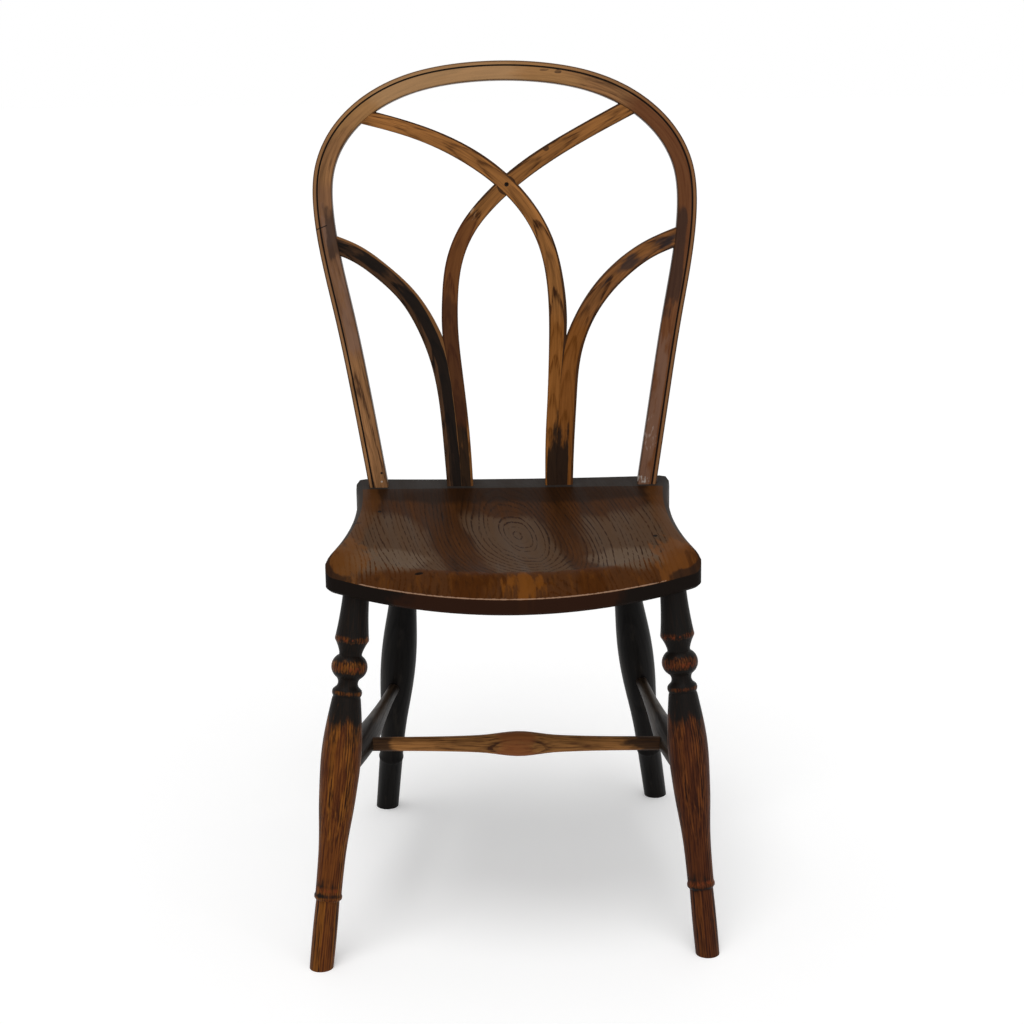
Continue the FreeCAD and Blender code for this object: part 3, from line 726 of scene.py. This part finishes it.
def leg_wood(name, pale, dark, umber, foot):
    """Brown ash, black in its hollows and at its ends, with red on the beads between."""
    ash = Wood(name)
    ash.grow(pale, dark, 0.0026, (0.026, -0.006, 0.0), 0.006, 1.0, 0.95)
    along = apart(ash.grain)[2]
    black = bands(along, [(0, 1), (44, 1), (49, 0.45), (54, 0.55), (58, 1), (70, 1), (77, 0.45),
                          (87, 0.5), (92, 1), (106, 1), (108.5, 0.45), (112, 0.55), (114, 1),
                          (124, 0.92), (145, 0.42), (198, 0.08), (305, 0.08), (324, 0.5), (329, 0.1),
                          (334, 0.75), (338, 0.2), (400, foot)])
    red = bands(along, [(0, 0), (48, 0), (50.5, 0.55), (53.5, 0.5), (55.5, 0), (78, 0), (80.5, 0.55),
                        (85, 0.5), (88, 0), (108, 0), (109.5, 0.5), (111, 0.45), (112.5, 0), (322, 0),
                        (325, 0.5), (329, 0.6), (332, 0)])
    bitten = noise(vector("MULTIPLY", ash.grain, (1, 1, 0.3)), 420.0, 2.0)[0]
    ash.patch(umber, between(ash.mottle, 0.40, 0.62), 0.5, 90.0, 0.6)
    ash.patch((0.006, 0.0055, 0.005), black, 0.35, 110.0, 0.97)
    ash.patch((0.165, 0.032, 0.009), times(red, between(bitten, 0.40, 0.60)), 0.05, 260.0, 0.85)
    return ash.polish(0.36, 0.4)


def black_wood(name, base, worn, most=0.5):
    """Ash under old black stain, worn paler in soft patches."""
    ash = Wood(name)
    ash.grow(base, [c * 0.5 for c in base], 0.003, (0.004, 0.030, 0.0), 0.010, 0.8, 0.6)
    ash.patch(worn, between(ash.mottle, 0.45, 0.75), 0.6, 70.0, most)
    return ash.polish(0.38)


leg_finish = {
    "front_left": leg_wood("front_left_leg_wood", (0.215, 0.072, 0.011), (0.018, 0.006, 0.003),
                           (0.075, 0.018, 0.005), 0.25),
    "front_right": leg_wood("front_right_leg_wood", (0.130, 0.038, 0.009), (0.012, 0.004, 0.003),
                            (0.040, 0.010, 0.004), 0.3),
    "back_left": black_wood("back_leg_wood", (0.0075, 0.0065, 0.006), (0.020, 0.016, 0.013))}
leg_finish["back_right"] = leg_finish["back_left"]
leg_axes = {}
for name, (top, foot) in leg_places.items():
    leg_axes[name] = a, b = Vector((*top, seat_under)), Vector((*foot, 0.0))
    length = (b - a).length
    leg = spin_piece(front_outline(length) if "front" in name else back_outline(length), leg_sides)
    set_on(leg, a, b)
    cut_flat(leg, 0.0, True)
    cut_flat(leg, seat_under * mm, False)
    finish_piece(leg, "turned_leg_" + name, "leg_" + name, leg_finish[name],
                 "front_leg_wood" if "front" in name else "back_leg_wood")

# Side stretchers: turned ash, thickest nearer the front, with plain round ends
# that are glued into holes in the legs.
side_heights = {"left": (193.5, 184.0), "right": (180.0, 185.0)}
side_end_r, side_swell_r, bar_sides = 6.9, 14.2, 48
end_short, end_plain = 4.0, 2.0
cross_share = 0.39
side_rows = [(0.15, 0.06), (0.45, 0.17), (0.80, 0.30), (1.0, 0.41), (0.86, 0.52), (0.58, 0.62),
             (0.30, 0.74), (0.10, 0.86), (0.02, 0.95)]


def on_leg(name, z):
    a, b = leg_axes[name]
    return b + (a - b) * (z / seat_under)


def stretcher(name, a, b, end_r, swell_r, rows, host_r, finish, slot):
    """A swelled bar from a to b that stays round and plain inside the pieces it enters."""
    way = (b - a).normalized()
    a, b = a + way * end_short, b - way * end_short
    length, plain = (b - a).length, host_r + end_plain
    inner = [(share(end_r, swell_r, r), share(plain, length - plain, t)) for r, t in rows]
    outline = turning([(end_r, 0.0), ("line", end_r, plain), ("curve", inner, end_r, length - plain),
                       ("line", end_r, length)])
    piece = spin_piece(outline, bar_sides)
    set_on(piece, a, b)
    finish_piece(piece, "turned_" + name, name, finish, slot)


side_finish = black_wood("side_stretcher_wood", (0.013, 0.008, 0.005), (0.045, 0.029, 0.018), 0.6)
cross_ends = []
for side, (front_z, back_z) in side_heights.items():
    a, b = on_leg("front_" + side, front_z), on_leg("back_" + side, back_z)
    stretcher("stretcher_" + side, a, b, side_end_r, side_swell_r, side_rows, leg_swell_r, side_finish,
              "side_stretcher_wood")
    cross_ends.append(a + (b - a) * cross_share)

# Cross stretcher: joins the two side stretchers, with a bulb in its middle that
# boots have rubbed bright.
cross_end_r, cross_swell_r = 8.0, 14.4
cross_rows = [(0.02, 0.10), (0.09, 0.22), (0.24, 0.33), (0.42, 0.39), (0.70, 0.436), (0.92, 0.475),
              (1.0, 0.508), (0.92, 0.54), (0.70, 0.578), (0.42, 0.622), (0.24, 0.68), (0.09, 0.78),
              (0.02, 0.90)]


def cross_wood(span):
    """Pale brown ash, reddish on the bulb and dark towards both ends."""
    ash = Wood("cross_stretcher_wood")
    ash.grow((0.33, 0.145, 0.042), (0.060, 0.022, 0.009), 0.0024, (0.003, 0.022, 0.0), 0.006, 0.9, 0.7)
    along = apart(ash.grain)[2]
    wear_and_sheen = bands(along, [(0, 0), (0.38 * span, 0), (0.46 * span, 0.7), (0.54 * span, 0.7),
                           (0.62 * span, 0)])
    ends = bands(along, [(0, 1), (16, 1), (30, 0.48), (52, 0.15), (0.45 * span, 0.0), (0.55 * span, 0.0),
                         (span - 60, 0.15), (span - 36, 0.5), (span - 18, 1), (span, 1)])
    ash.patch((0.215, 0.070, 0.022), wear_and_sheen, 0.35, 60.0, 0.85)
    ash.patch((0.020, 0.011, 0.007), ends, 0.5, 60.0, 0.88)
    return ash.polish(0.46)


cross_finish = cross_wood((cross_ends[1] - cross_ends[0]).length - 2 * end_short)
stretcher("stretcher_cross", *cross_ends, cross_end_r, cross_swell_r, cross_rows, side_swell_r,
          cross_finish, "cross_stretcher_wood")

# Bow: one ash stick, steamed and bent round a former, with a bead scratched along
# the outer edge of its front. Its feet stand on the seat and are wedged below.
back_turn, back_middle_y = math.radians(80.0), 142.2
back_half, back_height, back_lean = 214.0, 485.0, math.tan(math.radians(1.05))
bow_width, bow_depth, bow_edge, bead_edge = 22.6, 20.0, 2.6, 1.5
bow_drift, bow_spare = 1.5, 14.0
bead_width, groove_width, groove_depth, groove_floor = 4.6, 1.6, 1.5, 0.35
bend_steps, bow_steps, round_steps = 260, 240, 4
bow_half_line = [(0.744, 0.0), (0.820, 0.206), (0.902, 0.412), (0.978, 0.590), (0.998, 0.680),
                 (0.984, 0.765), (0.932, 0.825), (0.770, 0.908), (0.510, 0.969), (0.260, 0.993)]


def drawn_bar(rows, width, drift=0.0):
    """A bar's line and width from shares: of the back's half width and of its height."""
    points = []
    for across, up, wide in rows:
        x = across * back_half + drift * 4 * up * (1 - up) - back_lean * up * back_height
        points.append((x, up * back_height, width * wide))
    return smooth_rows(points, bend_steps)


def straight_bar(length, width, depth, middle, steps):
    bpy.ops.object.select_all(action="DESELECT")
    bpy.ops.mesh.primitive_grid_add(x_subdivisions=steps, y_subdivisions=1, size=1.0, location=(0, 0, 0))
    bar = bpy.context.object
    bpy.ops.object.mode_set(mode="EDIT")
    bpy.ops.mesh.select_all(action="SELECT")
    bpy.ops.transform.resize(value=(length, width, 1))
    bpy.ops.transform.translate(value=(length / 2, 0, middle - depth / 2))
    bpy.ops.mesh.extrude_region_move(TRANSFORM_OT_translate={"value": (0, 0, depth)})
    bpy.ops.mesh.select_all(action="SELECT")
    bpy.ops.mesh.normals_make_consistent(inside=False)
    bpy.ops.object.mode_set(mode="OBJECT")
    return bar


def round_edges(bar, y, z, size):
    """Rounds the long edges that run at one place across and through the bar."""
    spots = bar.data.vertices

    def there(e):
        a, b = spots[e.vertices[0]].co, spots[e.vertices[1]].co
        return all(abs(p.y - y) < hair and abs(p.z - z) < hair for p in (a, b))
    pick(bar, "EDGE", there)
    bpy.ops.mesh.bevel(offset=size, segments=round_steps, affect="EDGES")
    bpy.ops.object.mode_set(mode="OBJECT")


def bend_bar(bar, points, width):
    """Gives the bar its changing width, keeps its grain, bends it and leans it back."""
    length = reaches(points)[-1]
    for v in bar.data.vertices:
        t = min(max(v.co.x / length, 0.0), 1.0) * (len(points) - 1)
        i = min(int(t), len(points) - 2)
        v.co.y *= share(points[i][2], points[i + 1][2], t - i) / width
    keep_place(bar, "grain", [(v.co.y * mm, v.co.z * mm, v.co.x * mm) for v in bar.data.vertices])
    former = drawn_line("bend", [(x, up, 0) for x, up, _ in points])
    former.data.twist_mode = "Z_UP"
    bend = bar.modifiers.new("bend", "CURVE")
    bend.object, bend.deform_axis = former, "POS_X"
    take_up(bar)
    bpy.ops.object.modifier_apply(modifier="bend")
    bpy.data.objects.remove(former)
    place = Matrix.Translation((seat_at.x * mm, back_middle_y * mm, seat_top * mm))
    bar.data.transform(place @ Matrix.Rotation(back_turn, 4, "X") @ Matrix.Scale(mm, 4))
    bar.data.update()
    cut_flat(bar, seat_top * mm, True)


def run_on(points, distance):
    """Carries both ends of a drawn line straight on."""
    ends = []
    for a, b in ((points[1], points[0]), (points[-2], points[-1])):
        way = Vector((b[0] - a[0], b[1] - a[1])).normalized() * distance
        ends.append([b[0] + way.x, b[1] + way.y, b[2]])
    return [ends[0]] + points + [ends[1]]


bow_rows = [(-x, h, 1.0) for x, h in bow_half_line] + [(0.0, 1.0, 1.0)]
bow_rows += [(x, h, 1.0) for x, h in bow_half_line[::-1]]
bow_line = run_on(drawn_bar(bow_rows, bow_width, bow_drift), bow_spare)
bow_length = reaches(bow_line)[-1]
bow = straight_bar(bow_length, bow_width, bow_depth, 0.0, bow_steps)
front = bow_depth / 2
groove_out, groove_in = bow_width / 2 - bead_width, bow_width / 2 - bead_width - groove_width
for y in (groove_out, groove_in):
    pick(bow, "FACE", lambda f: abs(f.center.z - front) < hair)
    bpy.ops.mesh.bisect(plane_co=(0, y, 0), plane_no=(0, 1, 0))
    bpy.ops.object.mode_set(mode="OBJECT")
pick(bow, "FACE", lambda f: abs(f.center.z - front) < hair and groove_in < f.center.y < groove_out)
bpy.ops.mesh.extrude_region_move(TRANSFORM_OT_translate={"value": (0, 0, -groove_depth)})
bpy.ops.transform.resize(value=(1, groove_floor, 1),
                         center_override=(0, (groove_in + groove_out) / 2, front - groove_depth))
bpy.ops.object.mode_set(mode="OBJECT")
for y, z, size in ((1, 1, bead_edge), (-1, 1, bow_edge), (1, -1, bow_edge), (-1, -1, bow_edge)):
    round_edges(bow, y * bow_width / 2, z * front, size)
bend_bar(bow, bow_line, bow_width)

bow_marks = (((63, 216, 917), (4.5, 12, 2.4), (0.035, 0.016, 0.009), 0.4, 0.7, 0.75),
             ((47, 216, 919), (6.0, 12, 1.5), (0.060, 0.028, 0.014), 0.4, 0.7, 0.6),
             ((-151, 135, 457), (1.5, 12, 1.5), (0.006, 0.004, 0.003), 0.1, 1.0, 0.95),
             ((-151, 133, 447), (1.3, 12, 1.0), (0.45, 0.40, 0.34), 0.1, 1.0, 0.8),
             ((158, 133, 446), (9.0, 12, 4.5), (0.50, 0.45, 0.40), 0.6, 0.42, 0.8),
             # greyish pink specks of painted sheen on the right limb above its foot
             ((167, 143, 500), (10.0, 12, 24.0), (0.36, 0.27, 0.22), 0.5, 0.28, 0.6))


def bow_wood(length):
    """Honey ash at the top under a painted highlight, red down the right limb and stained inside at the
    joints, with dust and painted sheen on the inner edge.
    """
    ash = Wood("bow_ash", 0.07)
    ash.grow((0.285, 0.135, 0.052), (0.060, 0.025, 0.010), 0.0019, (0.004, -0.016, 0.0), 0.008, 0.85, 0.5,
             0.020)
    across, deep, along = apart(ash.grain)
    # Painted highlight along the top of the bow, over its honey colour.
    honey_and_highlight = times(between(along, 0.38, 0.54), between(along, length - 0.46, length - 0.68))
    ash.patch((0.37, 0.190, 0.068), honey_and_highlight, 0.45, 26.0, 0.6)
    # A paler painted highlight on the top, left of its middle.
    pale = times(between(along, 0.44, 0.54), between(along, 0.76, 0.58))
    ash.patch((0.48, 0.31, 0.17), pale, 0.6, 30.0, 0.28)
    ash.patch((0.102, 0.029, 0.008), between(along, length - 0.54, length - 0.42), 0.35, 14.0, 0.78)
    brown = times(between(along, 0.12, 0.22), between(along, 0.42, 0.34))
    ash.patch((0.150, 0.070, 0.038), brown, 0.4, 16.0, 0.5)
    # Dust with painted sheen on the inner edge, low on the right limb and on part of the left.
    dust_and_sheen = most_of(between(along, length - 0.30, length - 0.12, 0.0, 0.7),
                    times(between(along, 0.14, 0.19, 0.0, 0.55), between(along, 0.40, 0.30)))
    ash.patch((0.200, 0.115, 0.080), times(dust_and_sheen, between(across, 0.0045, 0.002)), 0.60, 60.0, 0.5)
    inner = between(across, 0.006, -0.003)
    left_joint = times(between(along, 0.265, 0.310), between(along, 0.370, 0.325), inner)
    right_joint = times(between(along, length - 0.390, length - 0.300, 0.0, 0.85),
                        between(along, length - 0.180, length - 0.250), inner)
    ash.patch((0.020, 0.012, 0.010), most_of(left_joint, right_joint), 0.80, 44.0, 0.72)
    facing = between(deep, 0.0060, 0.0076)
    groove = times(between(across, 0.0046, 0.0051), between(across, 0.0072, 0.0067), facing)
    ash.patch((0.009, 0.005, 0.003), groove, 0.1, 60.0, 0.95)
    wear_and_sheen = times(between(across, 0.0070, 0.0078), between(across, 0.0104, 0.0096), facing)
    ash.patch((0.30, 0.150, 0.058), wear_and_sheen, 0.4, 60.0, 0.5)
    edge = most_of(between(across, 0.0092, 0.0104), between(across, -0.0096, -0.0108))
    ash.patch((0.040, 0.018, 0.009), edge, 0.5, 60.0, 0.7)
    wavy = reckon("MULTIPLY_ADD", across, 0.25, along)
    crack = times(between(apart_from(wavy, 0.3265), 0.0010, 0.0003), between(across, -0.004, -0.001))
    ash.patch((0.008, 0.005, 0.004), crack, 0.1, 200.0, 0.95)
    place = ash.place()
    for centre, size, tint, ragged, full, most in bow_marks:
        ash.patch(tint, spot(place, centre, size, 0.3, full), ragged, 420.0, most)
    return ash.polish(0.34)


finish_piece(bow, "bent_bow", "bow", bow_wood(bow_length * mm), "bow_ash")

# Laths: two sawn and bent ash strips that rise from the pillars, cross by a halved
# joint and enter the far side of the bow.
lath_width, bar_edge, strip_steps = 19.0, 2.4, 130
lath_faces = {"lath_right_to_left": (9.0, -6.4), "lath_left_to_right": (8.4, -7.0)}
lath_lines = {
    "lath_right_to_left": [(0.213, -0.060, 0.76), (0.224, 0.110, 0.76), (0.243, 0.217, 0.78),
                           (0.257, 0.285, 0.88), (0.276, 0.375, 1.10), (0.268, 0.495, 1.05),
                           (0.222, 0.590, 0.99), (0.113, 0.680, 0.97), (-0.131, 0.782, 1.03),
                           (-0.435, 0.852, 0.93), (-0.800, 0.900, 0.91)],
    "lath_left_to_right": [(-0.251, -0.060, 0.76), (-0.262, 0.110, 0.76), (-0.281, 0.217, 0.79),
                           (-0.299, 0.285, 0.88), (-0.318, 0.375, 1.00), (-0.314, 0.450, 0.99),
                           (-0.282, 0.545, 1.00), (-0.190, 0.632, 0.99), (-0.104, 0.678, 1.00),
                           (0.122, 0.764, 1.03), (0.381, 0.835, 0.99), (0.740, 0.918, 1.00)]}
lath_pale, lath_dark, dark_edge = (0.36, 0.150, 0.042), (0.055, 0.020, 0.007), (0.022, 0.011, 0.007)
peg_middle = [(a + b) / 2 / mm for a, b in zip(*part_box("crossing_peg"))]


def bent_strip(rows, width, front, back):
    points = drawn_bar(rows, width)
    bar = straight_bar(reaches(points)[-1], width, front - back, (front + back) / 2, strip_steps)
    for y in (-width / 2, width / 2):
        for z in (front, back):
            round_edges(bar, y, z, bar_edge)
    bend_bar(bar, points, width)
    return bar


def strip_wood(name, pale, dark, lower, upper, soot_side, edges, glow=0.0):
    """Wood of a strip that is sooty beside its joint from its foot up to between two heights."""
    ash = Wood(name, 0.025)
    ash.grow(pale, dark, 0.0017, (0.002, -0.010, 0.0), 0.0065, 1.0, 0.45, 0.040)
    across, _, along = apart(ash.grain)
    if glow:
        ash.patch((0.175, 0.054, 0.005), between(along, 0.27, 0.19), 0.3, 40.0, glow)
    soot = times(between(along, upper, lower), between(across, soot_side * -0.0066, soot_side * -0.0030))
    ash.patch((0.009, 0.007, 0.006), soot, 0.55, 60.0, 0.92)
    for start, end, most, tint in edges:
        ash.patch(tint, between(across, start, end), 0.45, 70.0, most)
    return ash


def front_lath_wood():
    ash = strip_wood("lath_ash_a", lath_pale, lath_dark, 0.055, 0.150, -1,
                     [(-0.0064, -0.0078, 0.85, dark_edge), (0.0078, 0.0090, 0.6, dark_edge)], 0.55)
    return ash.polish(0.34)


def rear_lath_wood():
    """The same ash, redder and darker up its pillar, with a painted shadow of the front lath about the
    peg.
    """
    ash = strip_wood("lath_ash_b", [c * 0.85 for c in lath_pale], lath_dark, 0.100, 0.180, 1,
                     [(0.0064, 0.0078, 0.85, dark_edge), (-0.0078, -0.0090, 0.6, dark_edge)])
    along = apart(ash.grain)[2]
    low = between(along, 0.07, 0.13)
    ash.patch((0.095, 0.029, 0.010), times(between(along, 0.40, 0.30), low), 0.5, 22.0, 0.65)
    ash.patch((0.038, 0.014, 0.008), times(between(along, 0.30, 0.20), low), 0.6, 40.0, 0.65)
    place = ash.place()
    ash.patch((0.040, 0.018, 0.009), spot(place, (48, 201, 830), (3.6, 20, 3.2)), 0.3, 300.0, 0.8)
    ash.patch((0.44, 0.28, 0.16), spot(place, (-38, 188, 757), (4, 20, 16), 0.4, 0.3), 0.5, 240.0, 0.6)
    # Painted shadow that the front lath casts on this one beside the crossing, round the peg.
    ash.patch((0.020, 0.009, 0.005), spot(place, peg_middle, (11.6, 30.0, 11.6), 0.1), 0.15, 60.0, 0.85)
    return ash.polish(0.34)


lath_finish = {"lath_right_to_left": front_lath_wood(), "lath_left_to_right": rear_lath_wood()}
for name, rows in lath_lines.items():
    finish_piece(bent_strip(rows, lath_width, *lath_faces[name]), "bent_" + name, name, lath_finish[name],
                 "lath_ash")

# Arches: shorter strips that share the pillars with the laths and spring outwards
# into the sides of the bow.
arch_width, arch_faces = 20.0, (8.1, -6.0)
arch_lines = {
    "arch_left": [(-0.313, -0.060, 0.95), (-0.333, 0.110, 0.95), (-0.350, 0.210, 0.95),
                  (-0.378, 0.302, 1.13), (-0.449, 0.391, 1.13), (-0.556, 0.467, 1.02),
                  (-0.678, 0.520, 0.98), (-0.820, 0.566, 1.00), (-1.000, 0.598, 1.05)],
    "arch_right": [(0.275, -0.060, 1.12), (0.298, 0.110, 1.12), (0.317, 0.210, 1.12),
                   (0.338, 0.300, 1.18), (0.405, 0.388, 1.09), (0.510, 0.463, 1.08),
                   (0.644, 0.524, 1.08), (0.788, 0.568, 1.05), (0.960, 0.600, 1.08)]}


def dark_arch_wood():
    ash = strip_wood("arch_dark_ash", (0.085, 0.040, 0.019), (0.012, 0.008, 0.006), 0.16, 0.55, -1,
                     [(-0.0062, -0.0090, 0.8, (0.200, 0.088, 0.030))])
    ash.patch((0.060, 0.031, 0.017), between(ash.mottle, 0.46, 0.66), 0.6, 45.0, 0.6)
    return ash.polish(0.34)


def brown_arch_wood():
    ash = strip_wood("arch_brown_ash", (0.27, 0.108, 0.033), (0.045, 0.017, 0.007), 0.055, 0.150, 1,
                     [(0.0084, 0.0096, 0.7, dark_edge), (-0.0076, -0.0090, 0.7, dark_edge)], 0.6)
    ash.patch((0.024, 0.019, 0.020), between(apart(ash.grain)[2], 0.25, 0.33, 0.0, 0.62), 0.85, 42.0, 0.8)
    return ash.polish(0.34)


arch_finish = {"arch_left": (dark_arch_wood(), "arch_dark_ash"),
               "arch_right": (brown_arch_wood(), "arch_brown_ash")}
for name, rows in arch_lines.items():
    finish_piece(bent_strip(rows, arch_width, *arch_faces), "bent_" + name, name, *arch_finish[name])

# Peg and wedges: a round peg pins the halved joint, and a thin wedge spreads the
# end of each bow foot under the seat. Both show dark end grain.
for names, slot, tint in ((["crossing_peg"], "peg_wood", (0.020, 0.013, 0.010)),
                          (["wedge_left", "wedge_right"], "wedge_wood", (0.045, 0.026, 0.016))):
    ash = Wood(slot)
    ash.grow(tint, [c * 0.4 for c in tint], 0.0007, (0.0, 0.2, 0.79), 0.002, 0.8, 0.5, grain=ash.place())
    mat = ash.polish()
    for name in names:
        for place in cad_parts[name].material_slots:
            place.material = mat
